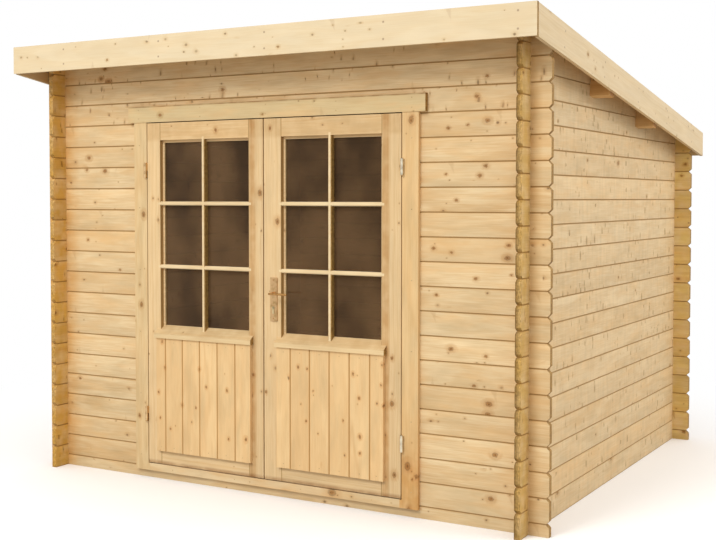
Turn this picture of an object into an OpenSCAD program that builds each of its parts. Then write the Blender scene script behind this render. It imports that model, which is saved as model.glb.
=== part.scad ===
// Wooden garden house: interlocking log walls, a roof with one slope and a glazed double door.
// The door wall faces -Y, the roof falls towards +Y, Z is up. Millimetres, full size.

/* [House] */
// Width over the outer faces of the side walls
house_w = 2770; // [2500:10:3600]
// Depth over the outer faces of the front and back walls
house_d = 2420; // [1900:10:3200]
// Height of the door wall's outer face, up to the roof boards
front_h = 2245; // [2200:1:2600]

/* [Logs] */
// Height of one log
log_h = 114; // [90:1:140]
// Thickness of a log
log_t = 28; // [24:1:45]
// How far a log runs on past the wall it crosses
log_end = 97; // [70:1:130]
// Depth of the V along the joint of two logs
log_v = 4; // [1:0.5:6]
// Slanted cut on the corners of a log's end
end_cut = 16; // [6:1:22]

/* [Roof] */
// Slope of the roof, in degrees
pitch = 8.2; // [4:0.1:14]
// Overhang of the roof in front of the door wall, with its fascia
eave_front = 237; // [150:1:400]
// Overhang of the roof behind the back wall, with its fascia
eave_back = 173; // [130:1:400]
// Gap between the log ends and the side fascias
eave_gap = 5; // [2:1:60]
// Thickness of the roof boards
roof_t = 18; // [15:1:25]
// Width of one roof board
roof_board_w = 96; // [80:1:140]
// Thickness of the roofing felt
felt_t = 4; // [2:0.5:6]
// Thickness of the fascia boards
fascia_t = 18; // [15:1:28]
// Height of the fascia boards
fascia_h = 141; // [110:1:180]
// Height of the fascia boards above the felt
fascia_up = 3; // [0:1:20]
// Height of a purlin
purlin_h = 135; // [90:1:160]
// Thickness of a purlin
purlin_t = 60; // [40:1:75]
// Distance of the first purlin behind the front face of the door wall
purlin_1 = 803; // [600:1:1000]
// Distance of the second purlin behind the front face of the door wall
purlin_2 = 1571; // [1300:1:1700]

/* [Floor] */
// Height of the floor bearers
bearer_h = 44; // [36:1:50]
// Width of the floor bearers
bearer_w = 58; // [40:1:80]
// Number of floor bearers
bearers = 6; // [4:1:9]
// Thickness of the floor boards
floor_t = 18; // [15:1:21]
// Width of one floor board
floor_board_w = 110; // [80:1:140]
// Gap round the floor
floor_gap = 4; // [2:1:12]

/* [Door frame] */
// Clear width between the door posts, where the leaves close
door_w = 1524; // [1300:1:1700]
// Height of the leaves
leaf_h = 1797; // [1750:1:1800]
// Gap between a leaf and the frame
door_gap = 5; // [5:1:8]
// Gap between the two leaves
meet_gap = 7; // [7:1:9]
// How far the meeting line stands left of the middle
meet_left = 16; // [0:1:30]
// Width of a door post over its front face
post_w = 85; // [70:1:110]
// Thickness of the boards that lap the logs
lap_t = 20; // [16:1:28]
// Part of a post that stands between leaf and logs
post_core = 38; // [28:1:45]
// How far the stop reaches behind a leaf
stop_w = 11; // [8:1:16]
// Height of the casing board over the door
casing_h = 85; // [70:1:100]
// Thickness of the casing board
casing_t = 24; // [20:1:36]
// How far the casing board reaches past the posts
casing_over = 36; // [0:1:40]
// Thickness of the sill over the lowest log
sill_t = 23; // [20:1:36]
// How far the sill and the posts lap the lowest log
sill_lap = 16; // [10:1:30]
// Height of the stop on the sill behind the leaves
sill_stop = 14; // [8:1:20]

/* [Door leaves] */
// Thickness of a leaf
leaf_t = 42; // [38:1:50]
// Width of the window in a leaf
window_w = 566; // [420:1:600]
// Height of the top rail
top_rail = 90; // [60:1:110]
// Height of the middle rail
mid_rail = 90; // [70:1:120]
// Height of the bottom rail
low_rail = 90; // [65:1:120]
// Height of the middle rail's top over the foot of the leaf
rail_top = 690; // [560:1:760]
// Depth of the glass behind the leaf's front
glass_back = 28; // [26:1:32]
// Thickness of the glass
glass_t = 4; // [3:1:5]
// Width of the lip in front of the glass
lip_w = 13; // [10:1:16]
// Depth of the lip behind the leaf's front
lip_in = 20; // [16:1:22]
// Width of a glazing bar
bar_w = 20; // [12:1:24]
// How far the glazing bars are let into the frame
bar_lap = 13; // [6:1:16]
// How far the upright bar stands left of the window's middle
bar_left = 4; // [0:1:10]
// Rise of the weather bar at the glass
weather_rise = 45; // [36:1:60]
// Height of the weather bar's nose
nose_h = 24; // [18:1:30]
// How far the nose hangs below the middle rail's top
nose_drop = 20; // [16:1:30]
// How far the nose stands in front of the leaf
nose_out = 28; // [22:1:40]
// How far the nose reaches over the stiles
nose_side = 26; // [0:1:40]
// Thickness of the panel's boards
panel_t = 18; // [14:1:20]
// How far the panel laps the leaf's frame
panel_lap = 17; // [10:1:40]
// Height of the panel's foot over the foot of the leaf
panel_foot = 72; // [40:1:80]
// Width of one panel board
panel_board_w = 112; // [80:1:140]
// Width of the panel's first board on the left leaf
left_first = 59; // [30:1:100]
// Width of the panel's first board on the right leaf
right_first = 80; // [30:1:100]

/* [Fittings] */
// Radius of a hinge barrel
hinge_r = 8; // [7:0.5:9]
// Height of a hinge barrel
hinge_h = 80; // [60:1:100]
// Height of the lower hinge's middle over the foot of the leaf
hinge_low = 260; // [150:1:400]
// Height of the upper hinge's middle over the foot of the leaf
hinge_high = 1550; // [1300:1:1600]
// Distance of the hinge pin from the leaf's edge
hinge_side = 9; // [7:1:10]
// Thickness of the hinge plates in the gap beside the leaf
hinge_t = 2; // [1.5:0.25:2.25]
// How far the hinge plates reach in from the leaf's front
hinge_in = 30; // [20:1:36]
// Distance of the lever's spindle from the leaf's edge
backset = 60; // [50:1:65]
// Height of the spindle over the foot of the leaf
lever_z = 933; // [850:1:1000]
// Distance from the spindle down to the lock cylinder
lock_drop = 72; // [72:1:92]
// Width of the lever plates
plate_w = 42; // [34:1:46]
// Height of the lever plates
plate_h = 215; // [190:1:250]
// Thickness of the lever plates
plate_t = 8; // [6:1:10]
// Length of the lever from the spindle to its tip
lever_len = 104; // [80:1:125]
// Distance of the lever's middle line from the plate
lever_out = 42; // [35:1:55]

/* [Hidden] */
$fn = 48;

// House: y runs from the door wall's outer face to the back wall's, centred under the roof
front_y = (eave_front - eave_back - house_d) / 2;
back_y = front_y + house_d;
mid_y = front_y + house_d / 2;
half_w = house_w / 2;
eave_side = log_end + eave_gap;
fall = tan(pitch);
boards_v = roof_t / cos(pitch);
felt_v = felt_t / cos(pitch);
fascia_v = fascia_h / cos(pitch);
roof_ease = 0.05;
floor_top = bearer_h + floor_t;

// Door, in heights over the ground and depths from the door wall's outer face
low_log = log_h / 2;
sill_top = low_log + sill_t;
leaf_z0 = sill_top + door_gap;
leaf_z1 = leaf_z0 + leaf_h;
head_z = leaf_z1 + door_gap;
open_half = door_w / 2 + post_core;
open_top = head_z + post_core;
split_z = low_log + floor((open_top - low_log) / log_h) * log_h;
post_half = door_w / 2 + post_w;
stop_half = door_w / 2 - stop_w;
leaf_y0 = -lap_t;
leaf_y1 = leaf_t - lap_t;
stop_y = leaf_y1 + door_gap;
frame_y1 = log_t + lap_t;

// Leaves
left_x0 = -door_w / 2 + door_gap;
left_x1 = -meet_left - meet_gap / 2;
right_x0 = -meet_left + meet_gap / 2;
right_x1 = door_w / 2 - door_gap;
rail_z1 = leaf_z0 + rail_top;
rail_z0 = rail_z1 - mid_rail;
window_z1 = leaf_z1 - top_rail;
glass_y = leaf_y0 + glass_back;
weather_z1 = rail_z1 + weather_rise;
sight_w = window_w - 2 * lip_w;
rebate = lip_w - 3;
nose_y = leaf_y0 - nose_out;
nose_z0 = rail_z1 - nose_drop;
panel_z0 = leaf_z0 + panel_foot;
nose_z1 = nose_z0 + nose_h;

// Fittings
hinge_y = leaf_y0 - hinge_r - 1;
hinge_half = door_w / 2 - door_gap + hinge_side;
hinge_pin_r = 4;
play = 0.3;
lever_x = right_x0 + backset;
spindle_z = leaf_z0 + lever_z;
lock_z = spindle_z - lock_drop;

// Height of the roof boards' underside at a depth y
function roof_z(y) = front_h - (y - front_y) * fall;

// Height on the weather bar's slope at a depth y
function slope_z(y) = nose_z1 + (weather_z1 - nose_z1) * (y - nose_y) / (glass_y - nose_y);

// Joints of a log wall whose lowest log ends at first; the top log is left whole
function joints(first, top) = [for (z = [first:log_h:top - log_h / 2]) z];

// Outline of the log ends on one side, from the ground up
function end_line(half, zs, top) = concat(
    [[half, 0]],
    [for (z = zs) for (p = [[half, z - end_cut], [half - end_cut, z], [half, z + end_cut]]) p],
    [[half, top]]
);

function mirrored(points) = [for (i = [len(points) - 1:-1:0]) [-points[i][0], points[i][1]]];

// Edge of a board wall with a V at each joint: at is the face, side 1 or -1 the way in
function v_edge(at, cuts, deep, side) = [
    for (c = cuts) for (p = [[c - deep, at], [c, at + side * deep], [c + deep, at]]) p
];

// A drawing in X and Z, made length thick from y0 on
module in_xz(y0, length) {
    translate([0, y0 + length, 0])
        rotate([90, 0, 0])
            linear_extrude(length)
                children();
}

// A drawing in Y and Z, made length thick from x0 on
module in_yz(x0, length) {
    translate([x0, 0, 0])
        rotate([90, 0, 90])
            linear_extrude(length)
                children();
}

// The door's own place: y = 0 on the door wall's outer face
module at_front() {
    translate([0, front_y, 0])
        children();
}

// Section through a log wall, with a V along each joint on both faces
module wall_section(zs, top) {
    inner = [for (i = [len(zs) - 1:-1:0]) zs[i]];
    polygon(concat(
        [[0, 0]],
        [for (p = v_edge(0, zs, log_v, 1)) [p[1], p[0]]],
        [[0, top], [log_t, top]],
        [for (z = inner) for (p = [[log_t, z + log_v], [log_t - log_v, z], [log_t, z - log_v]]) p],
        [[log_t, 0]]
    ));
}

// Log wall along X from y = 0 to log_t. Each log is notched a quarter of its height above and
// below where it crosses another wall, so the walls, half a log apart, close on each other.
module log_wall(half, cross, first, top) {
    zs = joints(first, top);
    ends = end_line(half, zs, top);
    intersection() {
        in_xz(0, log_t)
            difference() {
                polygon(concat(ends, mirrored(ends)));
                for (k = [-1:len(zs) + 1], x = [cross, -cross - log_t])
                    translate([x, first - log_h / 4 + k * log_h])
                        square([log_t, log_h / 2]);
            }
        in_yz(-half, 2 * half)
            wall_section(zs, top);
    }
}

// Everything above the roof boards' underside
module roof_space() {
    y0 = front_y - 2 * eave_front;
    y1 = back_y + 2 * eave_back;
    in_yz(-house_w, 2 * house_w)
        polygon([[y0, roof_z(y0)], [y1, roof_z(y1)], [y1, 2 * front_h], [y0, 2 * front_h]]);
}

// Slice of the house between two heights
module storey(z0, z1) {
    translate([-house_w, -house_d, z0])
        cube([2 * house_w, 2 * house_d, z1 - z0]);
}

module door_opening() {
    translate([-open_half, -house_d, low_log])
        cube([2 * open_half, house_d, open_top - low_log]);
}

module front_wall() {
    difference() {
        at_front()
            log_wall(half_w + log_end, half_w - log_t, low_log, front_h);
        door_opening();
        roof_space();
    }
}

module front_bottom_log() {
    color("burlywood")
        intersection() {
            front_wall();
            storey(0, low_log);
        }
}

// The logs beside the door: side is -1 for the left and 1 for the right
module front_wall_side(side) {
    color("burlywood")
        intersection() {
            front_wall();
            storey(low_log, split_z);
            translate([side > 0 ? 0 : -house_w, -house_d, 0])
                cube([house_w, house_d, front_h]);
        }
}

module front_wall_left() {
    front_wall_side(-1);
}

module front_wall_right() {
    front_wall_side(1);
}

module front_wall_top() {
    color("burlywood")
        intersection() {
            front_wall();
            storey(split_z, front_h);
        }
}

module back_wall() {
    color("burlywood")
        difference() {
            translate([0, back_y - log_t, 0])
                log_wall(half_w + log_end, half_w - log_t, low_log, roof_z(back_y - log_t));
            roof_space();
        }
}

// Side wall whose outer face is at x, with the purlins let in
module side_wall(x) {
    color("burlywood")
        difference() {
            translate([x, mid_y, 0])
                rotate([0, 0, 90])
                    log_wall(house_d / 2 + log_end, house_d / 2 - log_t, log_h,
                             roof_z(front_y - log_end));
            roof_space();
            purlin(purlin_1);
            purlin(purlin_2);
        }
}

module left_wall() {
    side_wall(log_t - half_w);
}

module right_wall() {
    side_wall(half_w);
}

// Purlin square to the roof, let through both side walls, from fascia to fascia
module purlin(back) {
    y = front_y + back;
    translate([0, y, roof_z(y)])
        rotate([-pitch, 0, 0])
            translate([-half_w - eave_side, 0, -purlin_h])
                cube([2 * (half_w + eave_side), purlin_t, purlin_h]);
}

module front_purlin() {
    color("peru")
        purlin(purlin_1);
}

module rear_purlin() {
    color("peru")
        purlin(purlin_2);
}

// Sloped slab over the whole roof, low above the boards' underside, cut upright in front and back
module roof_slab(low, thick) {
    y0 = front_y - eave_front + fascia_t;
    y1 = back_y + eave_back - fascia_t;
    in_yz(-half_w - eave_side, 2 * (half_w + eave_side))
        polygon([[y0, roof_z(y0) + low], [y1, roof_z(y1) + low],
                 [y1, roof_z(y1) + low + thick], [y0, roof_z(y0) + low + thick]]);
}

// Boards along the slope, with a V between them underneath, a hair clear of what carries them
module roof_boards() {
    half = half_w + eave_side;
    count = floor(2 * half / roof_board_w);
    length = house_d + eave_front + eave_back;
    cuts = [for (i = [1:count]) i * roof_board_w - half];
    deep = roof_t / 6;
    color("burlywood")
        intersection() {
            roof_slab(roof_ease, boards_v);
            translate([0, front_y, front_h])
                rotate([-pitch, 0, 0])
                    in_xz(-length, 3 * length)
                        polygon(concat([[-half, 0]], v_edge(0, cuts, deep, 1),
                                       [[half, 0], [half, 2 * roof_t], [-half, 2 * roof_t]]));
        }
}

module roof_felt() {
    color("dimgray")
        roof_slab(roof_ease + boards_v, felt_v);
}

// Fascia across the roof from y on, half its length to each side
module cross_fascia(y, half) {
    top = roof_z(y) + boards_v + felt_v + fascia_up;
    translate([-half, y, top - fascia_v])
        cube([2 * half, fascia_t, fascia_v]);
}

module front_fascia() {
    color("navajowhite")
        cross_fascia(front_y - eave_front, half_w + eave_side + fascia_t);
}

module rear_fascia() {
    color("navajowhite")
        cross_fascia(back_y + eave_back - fascia_t, half_w + eave_side);
}

// Fascia along the slope from x on: butts on the front fascia and covers the rear one's end
module slope_fascia(x) {
    y0 = front_y - eave_front + fascia_t;
    y1 = back_y + eave_back;
    up = boards_v + felt_v + fascia_up;
    color("navajowhite")
        in_yz(x, fascia_t)
            polygon([[y0, roof_z(y0) + up - fascia_v], [y1, roof_z(y1) + up - fascia_v],
                     [y1, roof_z(y1) + up], [y0, roof_z(y0) + up]]);
}

module left_fascia() {
    slope_fascia(-half_w - eave_side - fascia_t);
}

module right_fascia() {
    slope_fascia(half_w + eave_side);
}

// Bearers on the ground, from the door wall to the back wall
module floor_bearers() {
    span = house_w - 2 * log_t - 2 * floor_gap - bearer_w;
    color("peru")
        for (i = [0:bearers - 1])
            translate([i * span / (bearers - 1) - span / 2 - bearer_w / 2,
                       front_y + log_t + floor_gap, 0])
                cube([bearer_w, house_d - 2 * log_t - 2 * floor_gap, bearer_h]);
}

// Floor boards across the bearers, with a V between them
module floor_boards() {
    y0 = front_y + log_t + floor_gap;
    y1 = back_y - log_t - floor_gap;
    half = half_w - log_t - floor_gap;
    count = ceil((y1 - y0) / floor_board_w) - 1;
    cuts = [for (i = [count:-1:1]) y0 + i * floor_board_w];
    deep = floor_t / 9;
    color("burlywood")
        in_yz(-half, 2 * half)
            polygon(concat(
                [[y0, bearer_h], [y1, bearer_h], [y1, floor_top]],
                [for (c = cuts) for (p = [[c + deep, floor_top], [c, floor_top - deep],
                                          [c - deep, floor_top]]) p],
                [[y0, floor_top]]
            ));
}

// Door post: boards lap the logs on both faces, and the front has the leaf's rebate.
// Drawn for the right side.
module post() {
    difference() {
        union() {
            translate([stop_half, -lap_t, low_log - sill_lap])
                cube([post_half - stop_half, lap_t, head_z - low_log + sill_lap]);
            translate([stop_half, 0, low_log])
                cube([open_half - stop_half, log_t, head_z - low_log]);
            translate([stop_half, log_t, floor_top])
                cube([post_half - stop_half, lap_t, head_z - floor_top]);
        }
        translate([stop_half - 1, -lap_t - 1, sill_top])
            cube([stop_w + 1, stop_y + lap_t + 1, head_z]);
    }
}

module right_post() {
    color("burlywood")
        at_front()
            post();
}

module left_post() {
    color("burlywood")
        at_front()
            mirror([1, 0, 0])
                post();
}

// Head of the frame: a core in the opening, a stop and a board on the inner face
module door_head() {
    color("burlywood")
        at_front()
            union() {
                translate([-open_half, 0, head_z])
                    cube([2 * open_half, log_t, post_core]);
                translate([-post_half, log_t, head_z])
                    cube([2 * post_half, lap_t, post_w]);
                translate([-stop_half, stop_y, head_z - stop_w])
                    cube([2 * stop_half, frame_y1 - stop_y, stop_w]);
            }
}

module head_casing() {
    color("navajowhite")
        at_front()
            translate([-post_half - casing_over, -casing_t, head_z])
                cube([2 * (post_half + casing_over), casing_t, casing_h]);
}

// Sill: stands on the lowest log, laps its outer face and stops the leaves behind
module door_sill() {
    color("burlywood")
        at_front()
            in_yz(-stop_half, 2 * stop_half)
                polygon([
                    [-lap_t, low_log - sill_lap], [0, low_log - sill_lap], [0, low_log],
                    [log_t, low_log], [log_t, floor_top], [frame_y1, floor_top],
                    [frame_y1, sill_top + sill_stop], [stop_y, sill_top + sill_stop],
                    [stop_y, sill_top], [-lap_t, sill_top]
                ]);
}

// Everything under the weather bar's slope between x0 and x1
module below_slope(x0, x1) {
    in_yz(x0, x1 - x0)
        polygon([[nose_y, nose_z0], [glass_y + 1, nose_z0],
                 [glass_y + 1, slope_z(glass_y + 1)], [nose_y, nose_z1]]);
}

// Lip round the window in front of the glass, standing on the weather bar's slope
module window_lip(x0, x1) {
    xm = (x0 + x1) / 2;
    difference() {
        in_xz(leaf_y0 + lip_in, glass_back - lip_in)
            difference() {
                translate([xm - window_w / 2 - 1, rail_z1])
                    square([window_w + 2, window_z1 + 1 - rail_z1]);
                translate([xm - sight_w / 2, rail_z1 - 1])
                    square([sight_w, window_z1 - lip_w + 1 - rail_z1]);
            }
        below_slope(x0, x1);
    }
}

// Frame of a leaf between x0 and x1: stiles and three rails, rebated behind for the glass
module leaf_frame(x0, x1) {
    stile = (x1 - x0 - window_w) / 2;
    xm = (x0 + x1) / 2;
    color("burlywood")
        difference() {
            union() {
                difference() {
                    translate([x0, leaf_y0, leaf_z0])
                        cube([x1 - x0, leaf_t, leaf_h]);
                    translate([x0 + stile, leaf_y0 - 1, rail_z1])
                        cube([window_w, glass_back + 1, window_z1 - rail_z1]);
                    translate([xm - sight_w / 2 - rebate, leaf_y0 - 1, rail_z1])
                        cube([sight_w + 2 * rebate, leaf_t + 2,
                              window_z1 - lip_w + rebate - rail_z1]);
                    translate([x0 + stile, leaf_y0 - 1, leaf_z0 + low_rail])
                        cube([window_w, leaf_t + 2, rail_z0 - leaf_z0 - low_rail]);
                }
                window_lip(x0, x1);
            }
            bar_grid(x0, x1);
        }
}

module left_leaf_frame() {
    at_front()
        leaf_frame(left_x0, left_x1);
}

module right_leaf_frame() {
    at_front()
        difference() {
            leaf_frame(right_x0, right_x1);
            lever_bore(9.5, spindle_z);
            lock_shape(0.5);
        }
}

// Glass of a leaf, 2 mm free of the frame all round
module glass(x0, x1) {
    width = sight_w + 2 * rebate - 4;
    color("darkslategray", 0.5)
        translate([(x0 + x1 - width) / 2, glass_y, rail_z1 + 2])
            cube([width, glass_t, window_z1 - lip_w + rebate - rail_z1 - 4]);
}

module left_glass() {
    at_front()
        glass(left_x0, left_x1);
}

module right_glass() {
    at_front()
        glass(right_x0, right_x1);
}

// Beads that hold the glass from behind
module glass_beads(x0, x1) {
    width = sight_w + 2 * rebate;
    height = window_z1 - lip_w + rebate - rail_z1;
    color("burlywood")
        in_xz(glass_y + glass_t, leaf_t - glass_back - glass_t)
            translate([(x0 + x1 - width) / 2, rail_z1])
                difference() {
                    square([width, height]);
                    translate([rebate, 2 * rebate])
                        square([width - 2 * rebate, height - 3 * rebate]);
                }
}

module left_glass_beads() {
    at_front()
        glass_beads(left_x0, left_x1);
}

module right_glass_beads() {
    at_front()
        glass_beads(right_x0, right_x1);
}

// Section of a glazing bar, flush with the leaf's front, its front edges cut
module bar_section() {
    cut = bar_w / 5;
    polygon([[-bar_w / 2, glass_y], [-bar_w / 2, leaf_y0 + cut], [-bar_w / 2 + cut, leaf_y0],
             [bar_w / 2 - cut, leaf_y0], [bar_w / 2, leaf_y0 + cut], [bar_w / 2, glass_y]]);
}

// One upright and two level bars in front of the glass, let into the frame at their ends.
// The upright stands on the weather bar's slope.
module bar_grid(x0, x1) {
    foot = slope_z(leaf_y0);
    difference() {
        union() {
            translate([(x0 + x1) / 2 - bar_left, 0, foot])
                linear_extrude(window_z1 + bar_lap - foot)
                    bar_section();
            for (i = [1, 2])
                translate([(x0 + x1 + window_w) / 2 + bar_lap, 0,
                           foot + i * (window_z1 - foot) / 3])
                    rotate([0, -90, 0])
                        linear_extrude(window_w + 2 * bar_lap)
                            bar_section();
        }
        below_slope(x0, x1);
    }
}

module glazing_bars(x0, x1) {
    color("burlywood")
        bar_grid(x0, x1);
}

module left_glazing_bars() {
    at_front()
        glazing_bars(left_x0, left_x1);
}

module right_glazing_bars() {
    at_front()
        glazing_bars(right_x0, right_x1);
}

// Weather bar: slopes from the glass to a nose that laps the stiles
module weather_bar(x0, x1) {
    stile = (x1 - x0 - window_w) / 2;
    side = min(nose_side, stile);
    color("burlywood")
        union() {
            in_yz(x0 + stile, window_w)
                polygon([[leaf_y0, rail_z1], [glass_y, rail_z1], [glass_y, weather_z1],
                         [leaf_y0, slope_z(leaf_y0)]]);
            in_yz(x0 + stile - side, window_w + 2 * side)
                polygon([[nose_y, nose_z0], [leaf_y0, nose_z0], [leaf_y0, slope_z(leaf_y0)],
                         [nose_y, nose_z1]]);
        }
}

module left_weather_bar() {
    at_front()
        weather_bar(left_x0, left_x1);
}

module right_weather_bar() {
    at_front()
        weather_bar(right_x0, right_x1);
}

// Upright boards on the front of the leaf's frame, with a V between them
module panel(x0, x1, first) {
    stile = (x1 - x0 - window_w) / 2;
    px0 = x0 + stile - panel_lap;
    px1 = x1 - stile + panel_lap;
    count = floor((px1 - px0 - first) / panel_board_w);
    cuts = [for (i = [0:count]) px0 + first + i * panel_board_w];
    front = leaf_y0 - panel_t;
    color("burlywood")
        translate([0, 0, panel_z0])
            linear_extrude(nose_z0 - panel_z0)
                polygon(concat([[px0, leaf_y0], [px0, front]], v_edge(front, cuts, 4, 1),
                               [[px1, front], [px1, leaf_y0]]));
}

module left_panel() {
    at_front()
        panel(left_x0, left_x1, left_first);
}

module right_panel() {
    at_front()
        panel(right_x0, right_x1, right_first);
}

// Plate of a hinge in the gap beside the leaf, from x on, joined to its barrel
module hinge_plate(x, z0) {
    translate([x, hinge_y, z0])
        cube([hinge_t, leaf_y0 + hinge_in - hinge_y, hinge_h / 2 - 0.5]);
}

// Half a hinge barrel, its foot or its head cut round the edge
module barrel(foot_r, head_r) {
    cut = 2.5;
    length = hinge_h / 2 - 0.5;
    cylinder(h = cut, r1 = foot_r, r2 = hinge_r);
    translate([0, 0, cut])
        cylinder(h = length - 2 * cut, r = hinge_r);
    translate([0, 0, length - cut])
        cylinder(h = cut, r1 = hinge_r, r2 = head_r);
}

// Lower half of each hinge, fixed to the post, with the pin that carries the leaf.
// Drawn for the right side.
module hinge_pins() {
    color("silver")
        for (z = [hinge_low, hinge_high])
            translate([0, 0, leaf_z0 + z - hinge_h / 2])
                union() {
                    translate([hinge_half, hinge_y, 0]) {
                        barrel(hinge_r - 2.5, hinge_r);
                        cylinder(h = hinge_h - 6, r = hinge_pin_r);
                    }
                    hinge_plate(door_w / 2 - hinge_t, 0);
                }
}

// Upper half of each hinge, fixed to the leaf, bored for the pin
module hinge_knuckles() {
    color("silver")
        for (z = [hinge_low, hinge_high])
            translate([0, 0, leaf_z0 + z])
                difference() {
                    union() {
                        translate([hinge_half, hinge_y, 0.5])
                            barrel(hinge_r, hinge_r - 2.5);
                        hinge_plate(right_x1, 0.5);
                    }
                    translate([hinge_half, hinge_y, -1])
                        cylinder(h = hinge_h / 2 - 4, r = hinge_pin_r + play);
                }
}

module right_hinge_pins() {
    at_front()
        hinge_pins();
}

module right_hinge_knuckles() {
    at_front()
        hinge_knuckles();
}

module left_hinge_pins() {
    at_front()
        mirror([1, 0, 0])
            hinge_pins();
}

module left_hinge_knuckles() {
    at_front()
        mirror([1, 0, 0])
            hinge_knuckles();
}

// Round bore through the leaf and both plates
module lever_bore(radius, z) {
    translate([lever_x, leaf_y0 - plate_t - 1, z])
        rotate([-90, 0, 0])
            cylinder(h = leaf_t + 2 * plate_t + 2, r = radius);
}

// The lock cylinder's outline through leaf and plates: a round barrel over a narrow foot
module lock_shape(extra) {
    translate([lever_x, 0, lock_z])
        in_xz(leaf_y0 - plate_t - 2, leaf_t + 2 * plate_t + 4)
            union() {
                circle(r = 8.5 + extra);
                translate([-5 - extra, -24.5 - extra])
                    square([10 + 2 * extra, 24.5]);
                translate([0, -24.5])
                    circle(r = 5 + extra);
            }
}

// Long plate with rounded corners and slanted long edges: outer 1 for the front, -1 for the back
module lever_plate(y0, outer) {
    mid = spindle_z - (plate_h - lock_drop) / 5;
    slant = plate_t / 3;
    corner = 5;
    back = outer > 0 ? plate_t : 0;
    front = plate_t - back;
    intersection() {
        translate([lever_x, 0, mid])
            in_xz(y0, plate_t)
                union() {
                    square([plate_w, plate_h - 2 * corner], center = true);
                    square([plate_w - 2 * corner, plate_h], center = true);
                    for (x = [-1, 1], z = [-1, 1])
                        translate([x * (plate_w / 2 - corner), z * (plate_h / 2 - corner)])
                            circle(r = corner);
                }
        translate([lever_x, y0, mid - plate_h / 2])
            linear_extrude(plate_h)
                polygon([[-plate_w / 2, back], [-plate_w / 2, plate_t / 2],
                         [-plate_w / 2 + slant, front], [plate_w / 2 - slant, front],
                         [plate_w / 2, plate_t / 2], [plate_w / 2, back]]);
    }
}

module lever_plates() {
    color("goldenrod")
        at_front()
            difference() {
                union() {
                    lever_plate(leaf_y0 - plate_t, 1);
                    lever_plate(leaf_y1, -1);
                }
                lever_bore(8.5, spindle_z);
                lock_shape(0.3);
            }
}

module lock_cylinder() {
    color("silver")
        at_front()
            lock_shape(0);
}

// Lever from the spindle's end to the right: a collar, a neck and a grip with round ends
module lever(way) {
    grip_r = 5.5;
    rotate([-90 * way, 0, 0]) {
        cylinder(h = plate_t / 2 + 7, r = 8);
        cylinder(h = lever_out, r = grip_r);
    }
    translate([0, way * lever_out, 0]) {
        sphere(r = grip_r);
        rotate([0, 90, 0])
            cylinder(h = lever_len - grip_r, r = grip_r);
        translate([lever_len - grip_r, 0, 0])
            sphere(r = grip_r);
    }
}

// Both levers on their square spindle
module lever_handle() {
    color("goldenrod")
        at_front()
            translate([lever_x, 0, spindle_z])
                union() {
                    translate([-4, leaf_y0 - plate_t - 2, -4])
                        cube([8, leaf_t + 2 * plate_t + 4, 8]);
                    translate([0, leaf_y0 - plate_t / 2, 0])
                        lever(-1);
                    translate([0, leaf_y1 + plate_t / 2, 0])
                        lever(1);
                }
}

front_bottom_log();
front_wall_left();
front_wall_right();
front_wall_top();
left_wall();
right_wall();
back_wall();
front_purlin();
rear_purlin();
roof_boards();
roof_felt();
front_fascia();
rear_fascia();
left_fascia();
right_fascia();
floor_bearers();
floor_boards();
left_post();
right_post();
door_head();
head_casing();
door_sill();
left_leaf_frame();
left_glass();
left_glazing_bars();
left_glass_beads();
left_panel();
left_weather_bar();
left_hinge_pins();
left_hinge_knuckles();
right_leaf_frame();
right_glass();
right_glazing_bars();
right_glass_beads();
right_panel();
right_weather_bar();
right_hinge_pins();
right_hinge_knuckles();
lever_plates();
lock_cylinder();
lever_handle();
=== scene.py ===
"""Looks of the garden house: planed spruce, roofing felt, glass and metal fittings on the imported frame."""

import functools
import math
import random

import bmesh
import bpy
from mathutils import Matrix, Vector


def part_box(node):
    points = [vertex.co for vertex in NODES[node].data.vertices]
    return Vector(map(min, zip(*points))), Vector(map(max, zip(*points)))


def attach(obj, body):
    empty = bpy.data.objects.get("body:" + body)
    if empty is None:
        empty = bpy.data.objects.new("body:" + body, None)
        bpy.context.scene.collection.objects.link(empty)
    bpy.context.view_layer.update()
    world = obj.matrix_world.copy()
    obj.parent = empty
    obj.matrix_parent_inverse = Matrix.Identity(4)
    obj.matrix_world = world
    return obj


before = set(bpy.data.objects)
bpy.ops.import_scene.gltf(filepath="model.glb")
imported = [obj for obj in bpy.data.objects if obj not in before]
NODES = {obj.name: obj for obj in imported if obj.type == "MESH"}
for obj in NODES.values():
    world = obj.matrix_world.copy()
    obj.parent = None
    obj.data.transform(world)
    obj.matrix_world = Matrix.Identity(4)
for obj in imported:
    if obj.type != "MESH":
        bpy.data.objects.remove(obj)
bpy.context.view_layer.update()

MATH = "ShaderNodeMath"
VECTOR = "ShaderNodeVectorMath"
RANGE = "ShaderNodeMapRange"
MIX = "ShaderNodeMix"
NOISE = "ShaderNodeTexNoise"
CELLS = "ShaderNodeTexVoronoi"
JOIN = "ShaderNodeCombineXYZ"
SPLIT = "ShaderNodeSeparateXYZ"
CHANNELS = "ShaderNodeSeparateColor"
# Settings of a Mix node that blends colours: its inputs are 0 (how much), 6 and 7
TINT = {"out": 2, "data_type": "RGBA"}
SMOOTH = {"interpolation_type": "SMOOTHSTEP"}
HALF_EACH = (0.5, 0.5, 0.5)

# Sizes in mm. A round knot, a cluster's speck and a spike each have a cell of their own on a board
ROUND_CELL = (380.0, 95.0)
SPECK_CELL = (62.0, 34.0)
SPIKE_STEP = 640.0
RING_STEP = 9.0
NO_KNOT = 99.0
KNOT_DRAW = 0.75
LOG = 114.0
ROOF_BOARD = 96.0
FLOOR_BOARD = 110.0
PANEL_BOARD = 112.0
FIRST_BOARD = {"left": 59.0, "right": 80.0}
PITCH = math.radians(8.2)
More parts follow.
